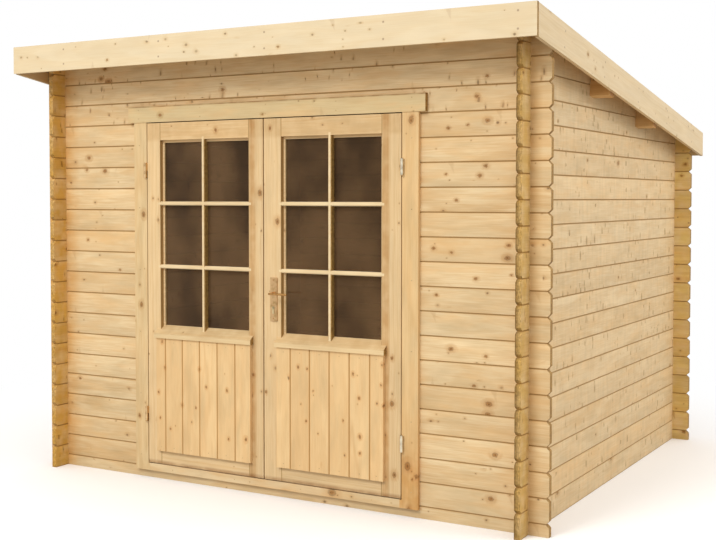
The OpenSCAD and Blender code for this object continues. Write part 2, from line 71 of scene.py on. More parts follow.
# Ends of a stain that goes on to the edge of the piece, for its rising and its falling side
FIELD = 5000.0
FROM_LOW = (-FIELD - 1, -FIELD)
TO_HIGH = (FIELD, FIELD + 1)
AMBER = "#e0c795"


def linear(code):
    """An sRGB hex colour as linear RGBA."""
    parts = [int(code[i : i + 2], 16) / 255 for i in (1, 3, 5)]
    return [c / 12.92 if c <= 0.04045 else ((c + 0.055) / 1.055) ** 2.4 for c in parts] + [1.0]


def add(tree, kind, *inputs, out=0, **settings):
    """Adds a node with its settings, fills or links its inputs in order or by key, and returns an output."""
    node = tree.nodes.new(kind)
    for name, value in settings.items():
        setattr(node, name, value)
    keyed = inputs[0] if inputs and isinstance(inputs[0], dict) else dict(enumerate(inputs))
    for key, value in keyed.items():
        if isinstance(value, bpy.types.NodeSocket):
            tree.links.new(value, node.inputs[key])
        elif value is not None:
            node.inputs[key].default_value = value
    return node.outputs if out is None else node.outputs[out]


def start_material(name):
    """An empty material and its tree."""
    material = bpy.data.materials.new(name)
    material.use_nodes = True
    material.node_tree.nodes.clear()
    return material, material.node_tree


def show(tree, shader):
    """Makes the shader the material's surface."""
    tree.links.new(shader, tree.nodes.new("ShaderNodeOutputMaterial").inputs["Surface"])


# ---------------------------------------------------------------- planed spruce
# Slow-grown Nordic spruce, planed and left raw: a soft, nearly matt straw with darker late-wood
# lines every 1 to 3 mm, pin knots in clusters, now and then a round knot or a branch sawn
# lengthwise. Lines that fine can't show at this size, so they are drawn 9 mm apart, with broad bands.


def spruce_group():
    """The wood itself, from places in mm along, across and into a board of its own number."""
    tree = bpy.data.node_groups.new("Planed spruce", "ShaderNodeTree")
    for name, value in {
        "Along": 0.0,
        "Across": 0.0,
        "Depth": 0.0,
        "Board": 0.0,
        "Half": LOG / 2,
        "End": 0.0,
        "Placed": NO_KNOT,
        "Knots": 0.35,
        "Pins": 0.36,
        "Variety": 1.0,
        "Chatter": 0.0,
        "Tall": 0.0,
        "Roll": 0.0,
        "Pale": "#ecd3a7",
        "Late": "#cfa66e",
        "Blush": "#e4bc84",
        "Grey": "#c8ad80",
        "Knot": "#62401c",
        "Cut": "#b8904f",
        "Heart": "#a8773f",
    }.items():
        colour = isinstance(value, str)
        socket = tree.interface.new_socket(
            name, in_out="INPUT", socket_type="NodeSocketColor" if colour else "NodeSocketFloat"
        )
        socket.default_value = linear(value) if colour else value
    for name, kind in (("Colour", "Color"), ("Height", "Float"), ("Roughness", "Float")):
        tree.interface.new_socket(name, in_out="OUTPUT", socket_type="NodeSocket" + kind)
    entry = tree.nodes.new("NodeGroupInput").outputs
    leave = tree.nodes.new("NodeGroupOutput").inputs
    node = functools.partial(add, tree)

    # u and v run along and across the grain in mm, and each board starts elsewhere in the pattern
    chance = node("ShaderNodeTexWhiteNoise", None, entry["Board"], out="Color", noise_dimensions="1D")
    by_board = node(CHANNELS, chance, out=None)
    u = node(MATH, by_board[0], 9000.0, entry["Along"], operation="MULTIPLY_ADD")
    v, depth, board = entry["Across"], entry["Depth"], entry["Board"]
    flat = node(JOIN, u, v)

    def cell_place(cell, shift):
        """Where a point lies in cells of (along, across), moved on from board to board."""
        row = node(MATH, board, shift, node(MATH, v, cell[1], operation="DIVIDE"), operation="MULTIPLY_ADD")
        return node(JOIN, node(MATH, u, cell[0], operation="DIVIDE"), row)

    def drawn_out(along, across, third):
        """Coordinates for a pattern that changes over a length along the grain and one across it."""
        along = node(MATH, u, along, operation="DIVIDE")
        return node(JOIN, along, node(MATH, v, across, operation="DIVIDE"), third)

    # Round knots: at most one in each cell, 5 to 14 mm in radius. Counting its 380 mm as 290 draws
    # them a third longer along the grain
    place = cell_place(ROUND_CELL, 7.31)
    cells = node(CELLS, {"Vector": place, "Scale": 1.0, "Randomness": 0.9}, out=None, voronoi_dimensions="2D")
    away = node(VECTOR, place, cells["Position"], operation="SUBTRACT")
    wobble = node(NOISE, {"Vector": flat, "Scale": 0.1, "Detail": 1.0}, out="Color", noise_dimensions="2D")
    wobble = node(VECTOR, wobble, HALF_EACH, operation="SUBTRACT")
    wobble = node(VECTOR, wobble, (8, 6, 0), operation="MULTIPLY")
    away = node(VECTOR, away, (290, 95, 0), wobble, operation="MULTIPLY_ADD")
    by_knot = node(CHANNELS, cells["Color"], out=None)
    size = node(MATH, node(MATH, by_knot[0], 2.5, operation="POWER"), 9.0, 5.0, operation="MULTIPLY_ADD")
    near = node(MATH, node(VECTOR, away, out="Value", operation="LENGTH"), size, operation="DIVIDE")
    missing = node(MATH, by_knot[1], entry["Knots"], operation="GREATER_THAN")
    near = node(MATH, missing, NO_KNOT, near, operation="MULTIPLY_ADD")
    near = node(MATH, near, entry["Placed"], operation="MINIMUM")
    core = node(RANGE, near, 1.15, 0.45, **SMOOTH)
    halo = node(RANGE, near, 3.6, 0.9, **SMOOTH)
    rim = node(MATH, node(MATH, near, 1.0, operation="SUBTRACT"), operation="ABSOLUTE")
    rim = node(RANGE, rim, 0.4, 0.0, **SMOOTH)
    swirl = node(SPLIT, wobble)
    swirl = node(MATH, near, 5.5, node(MATH, swirl, 0.7, operation="MULTIPLY"), operation="MULTIPLY_ADD")
    swirl = node(RANGE, node(MATH, swirl, operation="COSINE"), -0.8, 0.7)

    # Pin knots: clusters of specks 2 to 6 mm in radius. Tall draws them out across the board and
    # leans them, as they show where the saw ran near the middle of the trunk
    place = cell_place(SPECK_CELL, 3.17)
    pins = node(CELLS, {"Vector": place, "Scale": 1.0, "Randomness": 0.95}, out=None, voronoi_dimensions="2D")
    by_speck = node(CHANNELS, pins["Color"], out=None)
    off = node(VECTOR, place, pins["Position"], operation="SUBTRACT")
    long_way = node(MATH, entry["Tall"], 18.0, 50.0, operation="MULTIPLY_ADD")
    cross_way = node(MATH, entry["Tall"], -27.0, 34.0, operation="MULTIPLY_ADD")
    off = node(VECTOR, off, node(JOIN, long_way, cross_way), operation="MULTIPLY")
    lean = node(MATH, by_speck[2], 0.5, operation="SUBTRACT")
    lean = node(MATH, lean, node(MATH, entry["Tall"], 1.4, operation="MULTIPLY"), operation="MULTIPLY")
    lean = node(MATH, node(SPLIT, off, out=1), lean, operation="MULTIPLY")
    off = node(VECTOR, off, node(JOIN, lean), operation="ADD")
    off = node(VECTOR, wobble, (0.25, 0.2, 0), off, operation="MULTIPLY_ADD")
    off = node(VECTOR, off, out="Value", operation="LENGTH")
    width = node(MATH, node(MATH, by_speck[0], 2.5, operation="POWER"), 4.4, 1.8, operation="MULTIPLY_ADD")
    off = node(MATH, off, width, operation="DIVIDE")
    cluster = node(NOISE, {"Vector": drawn_out(300.0, 90.0, board), "Scale": 1.0, "Detail": 0.0})
    cluster = node(RANGE, cluster, 0.42, 0.7)
    lone = node(MATH, entry["Pins"], 0.12, operation="MULTIPLY")
    cluster = node(MATH, cluster, entry["Pins"], lone, operation="MULTIPLY_ADD")
    there = node(MATH, by_speck[1], cluster, operation="LESS_THAN")
    pin = node(MATH, node(RANGE, off, 1.7, 0.3, **SMOOTH), there, operation="MULTIPLY")
    pin = node(MATH, pin, node(MATH, by_speck[2], 0.45, 0.35, operation="MULTIPLY_ADD"), operation="MULTIPLY")
    stain = node(MATH, node(RANGE, off, 4.5, 0.8, **SMOOTH), there, operation="MULTIPLY")

    # Spike knots: branches sawn lengthwise, tapering in from one edge of the board
    steps = node(MATH, u, SPIKE_STEP, operation="DIVIDE")
    spikes = node(CELLS, {"W": steps, "Scale": 1.0}, out=None, voronoi_dimensions="1D")
    by_spike = node(CHANNELS, spikes["Color"], out=None)
    off = node(MATH, node(MATH, steps, spikes["W"], operation="SUBTRACT"), SPIKE_STEP, operation="MULTIPLY")
    lean = node(MATH, by_spike[0], 0.5, operation="SUBTRACT")
    off = node(MATH, v, node(MATH, lean, 0.8, operation="MULTIPLY"), off, operation="MULTIPLY_ADD")
    side = node(MATH, node(MATH, by_spike[1], 0.5, operation="SUBTRACT"), operation="SIGN")
    inward = node(MATH, entry["Half"], node(MATH, v, side, operation="MULTIPLY"), operation="SUBTRACT")
    length = node(MATH, by_spike[2], 40.0, 22.0, operation="MULTIPLY_ADD")
    thickness = node(MATH, by_spike[0], 13.0, 7.0, operation="MULTIPLY_ADD")
    taper = node(MATH, 1.0, node(MATH, inward, length, operation="DIVIDE"), operation="SUBTRACT")
    taper = node(MATH, taper, thickness, operation="MULTIPLY")
    spike = node(MATH, taper, node(MATH, off, operation="ABSOLUTE"), operation="SUBTRACT")
    spike = node(MATH, node(SPLIT, wobble), 0.9, spike, operation="MULTIPLY_ADD")
    spike = node(RANGE, spike, -1.0, 9.0, **SMOOTH)
    spike = node(MATH, spike, node(MATH, by_spike[2], 0.45, operation="GREATER_THAN"), operation="MULTIPLY")
    often = node(MATH, entry["Knots"], 2.4, operation="MULTIPLY")
    spike = node(MATH, spike, often, operation="MULTIPLY", use_clamp=True)

    # Growth rings round a pith that wanders behind the board, drawn out round the knots
    slow = node(NOISE, {"Vector": drawn_out(560.0, 95.0, board), "Scale": 1.0, "Detail": 2.0})
    aside = node(MATH, by_board[1], 130.0, -65.0, operation="MULTIPLY_ADD")
    behind = node(MATH, by_board[2], 50.0, 20.0, operation="MULTIPLY_ADD")
    aside = node(MATH, v, aside, operation="SUBTRACT")
    rings = node(JOIN, aside, node(MATH, depth, behind, operation="ADD"))
    rings = node(VECTOR, rings, out="Value", operation="LENGTH")
    rings = node(MATH, slow, 38.0, rings, operation="MULTIPLY_ADD")
    rings = node(MATH, halo, 9.0, rings, operation="MULTIPLY_ADD")
    fine = node(MATH, node(MATH, rings, 2 * math.pi / RING_STEP, operation="MULTIPLY"), operation="SINE")
    fine = node(RANGE, fine, -0.3, 1.0, **SMOOTH)
    broad = node(MATH, board, 31.7, node(MATH, rings, 15.0, operation="DIVIDE"), operation="MULTIPLY_ADD")
    broad = node(NOISE, {"W": broad, "Scale": 1.0, "Detail": 2.5}, noise_dimensions="1D")
    broad = node(RANGE, broad, 0.36, 0.68)
    fibre = drawn_out(130.0, 4.0, node(MATH, depth, 4.0, operation="DIVIDE"))
    fibre = node(NOISE, {"Vector": fibre, "Scale": 1.0, "Detail": 2.0})
    blotch = node(NOISE, {"Vector": drawn_out(230.0, 60.0, board), "Scale": 1.0, "Detail": 3.0}, out="Color")
    blotch = node(CHANNELS, blotch, out=None)
    rosy = node(RANGE, blotch[0], 0.48, 0.68)
    dull = node(RANGE, blotch[1], 0.5, 0.72)
    glow = node(RANGE, blotch[2], 0.35, 0.65)

    late = node(MATH, broad, 0.42, node(MATH, fine, 0.18, operation="MULTIPLY"), operation="MULTIPLY_ADD")
    grit = node(MATH, fibre, 0.5, operation="SUBTRACT")
    late = node(MATH, grit, 1.1, late, operation="MULTIPLY_ADD", use_clamp=True)
    colour = node(MIX, {0: late, 6: entry["Pale"], 7: entry["Late"]}, **TINT)
    warm = node(MATH, node(MATH, by_board[2], 2.0, operation="POWER"), 0.42, operation="MULTIPLY")
    warm = node(MATH, rosy, 0.5, warm, operation="MULTIPLY_ADD")
    warm = node(MATH, warm, entry["Variety"], operation="MULTIPLY")
    colour = node(MIX, {0: warm, 6: colour, 7: entry["Blush"]}, **TINT)
    dull = node(MATH, dull, node(MATH, entry["Variety"], 0.4, operation="MULTIPLY"), operation="MULTIPLY")
    colour = node(MIX, {0: dull, 6: colour, 7: entry["Grey"]}, **TINT)
    shade = node(MATH, halo, 0.42, operation="MULTIPLY")
    colour = node(MIX, {0: shade, 6: colour, 7: entry["Late"]}, blend_type="MULTIPLY", **TINT)
    shade = node(MATH, stain, 0.3, operation="MULTIPLY")
    colour = node(MIX, {0: shade, 6: colour, 7: entry["Late"]}, blend_type="MULTIPLY", **TINT)
    heart = node(MATH, by_knot[2], 0.35, 0.65, operation="MULTIPLY_ADD")
    heart = node(MATH, swirl, heart, operation="MULTIPLY")
    heart = node(MIX, {0: heart, 6: entry["Heart"], 7: entry["Knot"]}, **TINT)
    colour = node(MIX, {0: node(MATH, core, 0.92, operation="MULTIPLY"), 6: colour, 7: heart}, **TINT)
    colour = node(MIX, {0: node(MATH, spike, 0.6, operation="MULTIPLY"), 6: colour, 7: entry["Heart"]}, **TINT)
    shade = node(MATH, node(MATH, rim, 0.45, operation="MULTIPLY"), pin, operation="MAXIMUM")
    colour = node(MIX, {0: shade, 6: colour, 7: entry["Knot"]}, **TINT)

    # Cut ends: the rings themselves, darker because the open grain drinks light
    speck = node(NOISE, {"Vector": node(JOIN, v, depth, u), "Scale": 0.09, "Detail": 4.0})
    cut = node(RANGE, speck, 0.35, 0.7)
    cut = node(MIX, {0: node(MATH, cut, 0.6, operation="MULTIPLY"), 6: entry["Cut"], 7: entry["Knot"]}, **TINT)
    cut = node(MIX, {0: node(MATH, fine, 0.25, operation="MULTIPLY"), 6: cut, 7: entry["Knot"]}, **TINT)
    colour = node(MIX, {0: entry["End"], 6: colour, 7: cut}, **TINT)

    # Each board's own tone, soft light and dark patches, and the planer's faint chatter across it
    tone = node(MATH, by_board[0], 0.5, operation="SUBTRACT")
    tone = node(MATH, tone, 0.13, operation="MULTIPLY")
    tone = node(MATH, node(MATH, glow, 0.09, operation="MULTIPLY"), tone, operation="ADD")
    tone = node(MATH, tone, entry["Variety"], 0.95, operation="MULTIPLY_ADD")
    # Painted light: each board is lighter along its upper edge and darker along its lower one, as a rounded
    # face lit from above shows
    roll = node(MATH, v, entry["Half"], operation="DIVIDE")
    tone = node(MATH, roll, entry["Roll"], tone, operation="MULTIPLY_ADD")
    waves = node(NOISE, {"Vector": drawn_out(34.0, 160.0, board), "Scale": 1.0, "Detail": 1.0})
    waves = node(MATH, waves, 0.5, operation="SUBTRACT")
    tone = node(MATH, waves, entry["Chatter"], tone, operation="MULTIPLY_ADD")
    colour = node(VECTOR, {0: colour, "Scale": tone}, operation="SCALE")
    tree.links.new(colour, leave["Colour"])
    height = node(MATH, fine, 0.5, node(MATH, fibre, 0.7, operation="MULTIPLY"), operation="MULTIPLY_ADD")
    height = node(MATH, core, -0.4, height, operation="MULTIPLY_ADD")
    tree.links.new(height, leave["Height"])
    tree.links.new(node(MATH, fibre, 0.16, 0.54, operation="MULTIPLY_ADD"), leave["Roughness"])
    return tree


SPRUCE = spruce_group()


def spruce(
    name, grain, stack, pitch=None, first=0.0, middle=(0.0, 0.0), half=1000.0, slope=0.0,
    members=None, knots=(), bands=(), end_bands=(), nails=None, seam="#a27a40", **looks
):
    """Spruce with its grain along one axis, in boards stacked along another, sizes in mm.

    middle centres a single board on its other two axes, and slope leans the grain about X.
    members = (centre, half width, levels) turns the grain level between two stiles.
    knots = (along, across, radius) stand out, each at its own place.
    bands = (axis, rise, full, still full, gone, strength, colour) tint the wood in patches: some hold stains,
    many are painted shade and painted warm bounce light. end_bands tint cut ends only, as painted shade.
    nails = (pitch, first, offset, radius) are sunk heads in two rows.
    seam is the colour of the joint between two boards, and looks go to the wood's own inputs."""
    material, tree = start_material(name)
    node = functools.partial(add, tree)
    place = node(VECTOR, {0: node("ShaderNodeTexCoord", out="Object"), "Scale": 1000.0}, operation="SCALE")
    if slope:
        place = node("ShaderNodeVectorRotate", {"Vector": place, "Angle": slope}, rotation_type="X_AXIS")
    axes = dict(zip("XYZ", node(SPLIT, place, out=None)))
    faces = dict(zip("XYZ", node(SPLIT, node("ShaderNodeTexCoord", out="Normal"), out=None)))
    across_way = ({"X", "Y", "Z"} - {grain, stack}).pop()
    label = float(sum(ord(c) for c in name) % 97)
    wood = {
        "Along": axes[grain],
        "Across": node(MATH, axes[stack], middle[0], operation="SUBTRACT"),
        "Depth": node(MATH, axes[across_way], middle[1], operation="SUBTRACT"),
        "Board": label,
        "Half": half,
        "End": node(RANGE, node(MATH, faces[grain], operation="ABSOLUTE"), 0.45, 0.6),
    }
    joint = None
    if pitch:
        steps = node(MATH, node(MATH, axes[stack], first, operation="SUBTRACT"), pitch, operation="DIVIDE")
        board = node(MATH, steps, operation="FLOOR")
        out = node(MATH, node(MATH, steps, board, operation="SUBTRACT"), 0.5, operation="SUBTRACT")
        wood["Across"] = node(MATH, out, pitch, operation="MULTIPLY")
        wood["Board"] = node(MATH, board, label, operation="ADD")
        wood["Half"] = pitch / 2
        joint = node(MATH, pitch / 2, node(MATH, wood["Across"], operation="ABSOLUTE"), operation="SUBTRACT")
    if members:
        centre, reach, levels = members
        out = node(MATH, axes["X"], centre, operation="SUBTRACT")
        stile = node(MATH, node(MATH, out, operation="SIGN"), 2.0, label, operation="MULTIPLY_ADD")
        out = node(MATH, out, operation="ABSOLUTE")
        between = node(MATH, out, reach, operation="LESS_THAN")
        level, rail = levels[0], label + 7.0
        for low, high in zip(levels, levels[1:]):
            above = node(MATH, axes["Z"], (low + high) / 2, operation="GREATER_THAN")
            level = node(MATH, above, high - low, level, operation="MULTIPLY_ADD")
            rail = node(MATH, above, 3.0, rail, operation="MULTIPLY_ADD")
        end = node(RANGE, node(MATH, faces["X"], operation="ABSOLUTE"), 0.45, 0.6)
        across = node(MATH, axes["Z"], level, operation="SUBTRACT")
        for key, in_stile, in_rail in (
            ("Along", axes[grain], axes["X"]),
            ("Across", wood["Across"], across),
            ("Board", stile, rail),
            ("End", wood["End"], node(MATH, end, 0.35, operation="MULTIPLY")),
        ):
            wood[key] = node(MIX, {0: between, 2: in_stile, 3: in_rail})
        joint = node(MATH, node(MATH, out, reach, operation="SUBTRACT"), operation="ABSOLUTE")
        joint = node(MATH, joint, 0.8, operation="ADD")
    if knots:
        spot = node(JOIN, node(MATH, axes[grain], KNOT_DRAW, operation="MULTIPLY"), axes[stack])
        uneven = node(NOISE, {"Vector": place, "Scale": 0.09, "Detail": 2.0}, out="Color")
        uneven = node(VECTOR, uneven, HALF_EACH, operation="SUBTRACT")
        spot = node(VECTOR, uneven, (11.0, 9.0, 0.0), spot, operation="MULTIPLY_ADD")
        wood["Placed"] = NO_KNOT
        for along, across, radius in knots:
            gap = node(VECTOR, spot, (KNOT_DRAW * along, across, 0), out="Value", operation="DISTANCE")
            gap = node(MATH, gap, radius, operation="DIVIDE")
            wood["Placed"] = node(MATH, gap, wood["Placed"], operation="MINIMUM")
    for key, value in looks.items():
        wood[key] = linear(value) if isinstance(value, str) else value
    grown = node("ShaderNodeGroup", wood, out=None, node_tree=SPRUCE)
    colour = grown["Colour"]
    patches = node(NOISE, {"Vector": place, "Scale": 0.016, "Detail": 2.0}) if bands else None
    for stains_and_painted_shade, patchy in ((bands, True), (end_bands, False)):
        for axis, rise, full, still, gone, strength, tint in stains_and_painted_shade:
            band = node(RANGE, axes[axis], rise, full, 0.0, strength)
            band = node(MATH, band, node(RANGE, axes[axis], gone, still), operation="MULTIPLY")
            share = node(RANGE, patches, 0.3, 0.6, 0.45, 1.0) if patchy else wood["End"]
            band = node(MATH, band, share, operation="MULTIPLY")
            colour = node(MIX, {0: band, 6: colour, 7: linear(tint)}, blend_type="MULTIPLY", **TINT)
    if nails:
        step, start, offset, radius = nails
        turn = node(MATH, axes[grain], start, operation="SUBTRACT")
        turn = node(MATH, turn, node(MATH, turn, step, operation="SNAP"), operation="SUBTRACT")
        turn = node(MATH, turn, step / 2, operation="SUBTRACT")
        lift = node(MATH, node(MATH, wood["Across"], operation="ABSOLUTE"), offset, operation="SUBTRACT")
        head = node(VECTOR, node(JOIN, turn, lift), out="Value", operation="LENGTH")
        head = node(RANGE, head, radius * 1.3, radius * 0.6, 0.0, 0.75)
        colour = node(MIX, {0: head, 6: colour, 7: linear("#9c7f66")}, **TINT)
    if joint is not None:
        line = node(RANGE, joint, 5.5, 0.6, 0.0, 0.85, **SMOOTH)
        colour = node(MIX, {0: line, 6: colour, 7: linear(seam)}, **TINT)
    bump = node("ShaderNodeBump", {"Strength": 0.6, "Distance": 0.0004, "Height": grown["Height"]})
    look = {
        "Base Color": colour, "Roughness": grown["Roughness"], "IOR": 1.45, "Specular IOR Level": 0.35,
        "Normal": bump,
    }
    show(tree, node("ShaderNodeBsdfPrincipled", look))
    return material


# ---------------------------------------------------------------- felt, glass and metal


def roofing_felt():
    """Bitumen felt faced with slate grit: dark grey, dry and speckled, each metre-wide sheet its own
    tone. Grit of 1 mm is drawn about 4 mm across so that it shows."""
    material, tree = start_material("Mineral roofing felt")
    node = functools.partial(add, tree)
    place = node(VECTOR, {0: node("ShaderNodeTexCoord", out="Object"), "Scale": 1000.0}, operation="SCALE")
    grit = node(NOISE, {"Vector": place, "Scale": 0.16, "Detail": 3.0})
    cloud = node(NOISE, {"Vector": place, "Scale": 0.004, "Detail": 4.0})
    light = node(RANGE, grit, 0.35, 0.7)
    light = node(MATH, node(MATH, cloud, 0.6, operation="MULTIPLY"), light, operation="MULTIPLY")
    colour = node(MIX, {0: light, 6: linear("#313234"), 7: linear("#97988f")}, **TINT)
    bump = node("ShaderNodeBump", {"Strength": 0.8, "Distance": 0.001, "Height": grit})
    rough = node(MATH, grit, 0.15, 0.82, operation="MULTIPLY_ADD")
    show(tree, node("ShaderNodeBsdfPrincipled", {"Base Color": colour, "Roughness": rough, "Normal": bump}))
    return material


def pane():
    """Clear float glass with a thin mottled brown film and a brown tint in its sheen: a painted reflection of
    the timber opposite.
    Lamps shine through it into the room."""
    material, tree = start_material("Float glass")
    node = functools.partial(add, tree)
    place = node("ShaderNodeTexCoord", out="Object")
    streaks = {"Vector": place, "Scale": (2.6, 1.0, 2.0), "Location": (3.1, 0.0, 5.7)}
    streaks = node("ShaderNodeMapping", streaks)
    painted_reflection = node(NOISE, {"Vector": streaks, "Scale": 1.0, "Detail": 3.0})
    painted_reflection = node(RANGE, painted_reflection, 0.34, 0.64, **SMOOTH)
    # Painted reflection: the brown mottling here and the brown Specular Tint below
    colour = node(MIX, {0: painted_reflection, 6: linear("#765f49"), 7: linear("#bd9a74")}, **TINT)
    look = {
        "Base Color": colour, "Roughness": 0.04, "IOR": 1.45, "Specular Tint": linear("#b08c66"),
        "Transmission Weight": 0.86,
    }
    solid = node("ShaderNodeBsdfPrincipled", look)
    clear = node("ShaderNodeBsdfTransparent", linear("#d8ddd8"))
    rays = node("ShaderNodeLightPath", out=None)
    lit = node(MATH, rays["Is Shadow Ray"], rays["Is Diffuse Ray"], operation="MAXIMUM")
    show(tree, node("ShaderNodeMixShader", lit, solid, clear))
    return material


def metal(name, colour, worn, roughness, grain=(60.0, 60.0, 60.0)):
    """Metal with a slightly uneven polish: fine brush lines along one way and a duller, darker wear."""
    material, tree = start_material(name)
    node = functools.partial(add, tree)
    place = node("ShaderNodeTexCoord", out="Object")
    lines = node("ShaderNodeMapping", {"Vector": place, "Scale": grain})
    lines = node(NOISE, {"Vector": lines, "Scale": 12.0, "Detail": 3.0})
    wear = node(RANGE, node(NOISE, {"Vector": place, "Scale": 55.0, "Detail": 3.0}), 0.45, 0.75)
    tone = node(MIX, {0: wear, 6: linear(colour), 7: linear(worn)}, **TINT)
    rough = node(MATH, lines, 0.18, roughness - 0.09, operation="MULTIPLY_ADD")
    bump = node("ShaderNodeBump", {"Strength": 0.25, "Distance": 0.0002, "Height": lines})
    look = {"Base Color": tone, "Metallic": 1.0, "Roughness": rough, "Normal": bump}
    show(tree, node("ShaderNodeBsdfPrincipled", look))
    return material


# ---------------------------------------------------------------- which finish each node gets


def box(node):
    """Lowest and highest corners of a node in mm."""
    low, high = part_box(node)
    return [1000 * v for v in low], [1000 * v for v in high]


def midway(node, axis):
    """Middle of a node along one axis, in mm."""
    low, high = box(node)
    return (low[axis] + high[axis]) / 2


finish = {}
# Where knots stand out in the door boards: (up, across, radius)
PANEL_KNOTS = {
    "left": (
        (519, -362, 5), (513, -231, 5), (600, -632, 5), (468, -675, 5), (608, -405, 5), (407, -429, 4),
        (413, -519, 5), (281, -596, 4), (333, -665, 4), (267, -221, 4), (275, -115, 6), (735, -651, 5),
    ),
    "right": (
        (665, 199, 5), (659, 251, 4), (654, 510, 5), (542, 543, 5), (357, 548, 6), (277, 548, 5),
        (709, 667, 4), (611, 662, 4), (516, 673, 4), (404, 245, 4), (347, 314, 3), (424, 455, 3),
        (554, 285, 3),
    ),
}

# Open grain soaks up damp where two walls cross: the logs are amber past the right crossing, and
# honey-coloured from the left ends to a hand's breadth inside the left one. Part of both tints is painted warm
# bounce light and painted shade from the crossing walls.
corner = ("X", 1376.0, 1386.0, 1392.0, 1445.0, 0.5, AMBER)
left_corner = ("X", *FROM_LOW, -1392.0, -1255.0, 0.95, "#efce88")
front = dict(
    bands=(corner, left_corner),
    knots=(
        (1182, 1836, 8), (1085, 1819, 4), (988, 1808, 6), (1174, 1634, 7), (1145, 1591, 7),
        (977, 1599, 4), (1029, 1480, 6), (915, 1260, 6), (1006, 1242, 5), (1285, 1280, 6),
        (1279, 1224, 9), (1127, 1127, 6), (1300, 1149, 4), (930, 1046, 5), (1005, 802, 9),
        (1121, 642, 6), (1194, 566, 10), (1225, 339, 9), (1206, 138, 9), (-1187, 1708, 8),
        (-1203, 1643, 6), (-1072, 1636, 9), (-1199, 1259, 5), (-970, 1101, 5),
    ),
    Knots=0.12, Pins=0.22,
)
for node in ("front_wall_left", "front_wall_right", "front_bottom_log"):
    finish[node] = spruce(f"Planed spruce logs, {node}", "X", "Z", LOG, LOG / 2, Roll=0.04, **front)
finish["front_wall_top"] = spruce(
    "Planed spruce logs over the door", "X", "Z", LOG, LOG / 2, bands=front["bands"],
    knots=((1129, 1946, 6), (-1096, 2134, 8), (-1067, 2187, 7)), Knots=0.12, Pins=0.5, Tall=0.8, Roll=0.02,
)
# Amber past the right crossing and honey-coloured at the left end: partly stain, partly painted warm bounce
# light from the crossing walls
finish["back_wall"] = spruce(
    "Planed spruce logs, back wall", "X", "Z", LOG, LOG / 2,
    bands=(("X", 1372.0, 1392.0, *TO_HIGH, 1.0, "#f8f2c2"), left_corner),
)
# The right wall's log ends are darker and greyer next to the crossing: painted shade
shaded_end = {"left": (), "right": (("X", *FROM_LOW, 1359.0, 1377.0, 0.85, "#a3977a"),)}
# The side walls' ends in front of the front wall and behind the back one are warmer: partly stain, partly
# painted warm bounce light from the crossing walls
for side, stain_and_bounce_light in (("left", "#f2dc92"), ("right", "#ebdfb0")):
    finish[side + "_wall"] = spruce(
        f"Planed spruce logs, {side} wall", "Y", "Z", LOG, 0.0,
        bands=(("Y", *FROM_LOW, -1190.0, -1140.0, 1.0, stain_and_bounce_light),
               ("Y", 1210.0, 1250.0, *TO_HIGH, 0.5, AMBER)),
        end_bands=shaded_end[side], Pale="#e8cea3", Late="#d2b07e", Cut="#e6c28a", Knot="#7c6236",
        Knots=0.1, Pins=0.34, Tall=0.9, Chatter=0.2, Variety=0.75, Roll=0.03,
    )
fascia = dict(
    half=70.0, Pale="#ecd9b5", Late="#e3c99b", Blush="#eacfa4", Grey="#e6cfa6", Knots=0.12, Pins=0.22,
    Variety=0.6,
)
for end in ("front", "rear"):
    finish[end + "_fascia"] = spruce(
        f"Planed spruce fascia, {end}", "X", "Z", middle=(midway(end + "_fascia", 2), 0.0),
        nails=(640.0, -1460.0, 38.0, 5.0), **fascia
    )
fascia.update(Pale="#e8d2ad", Late="#dabf90")
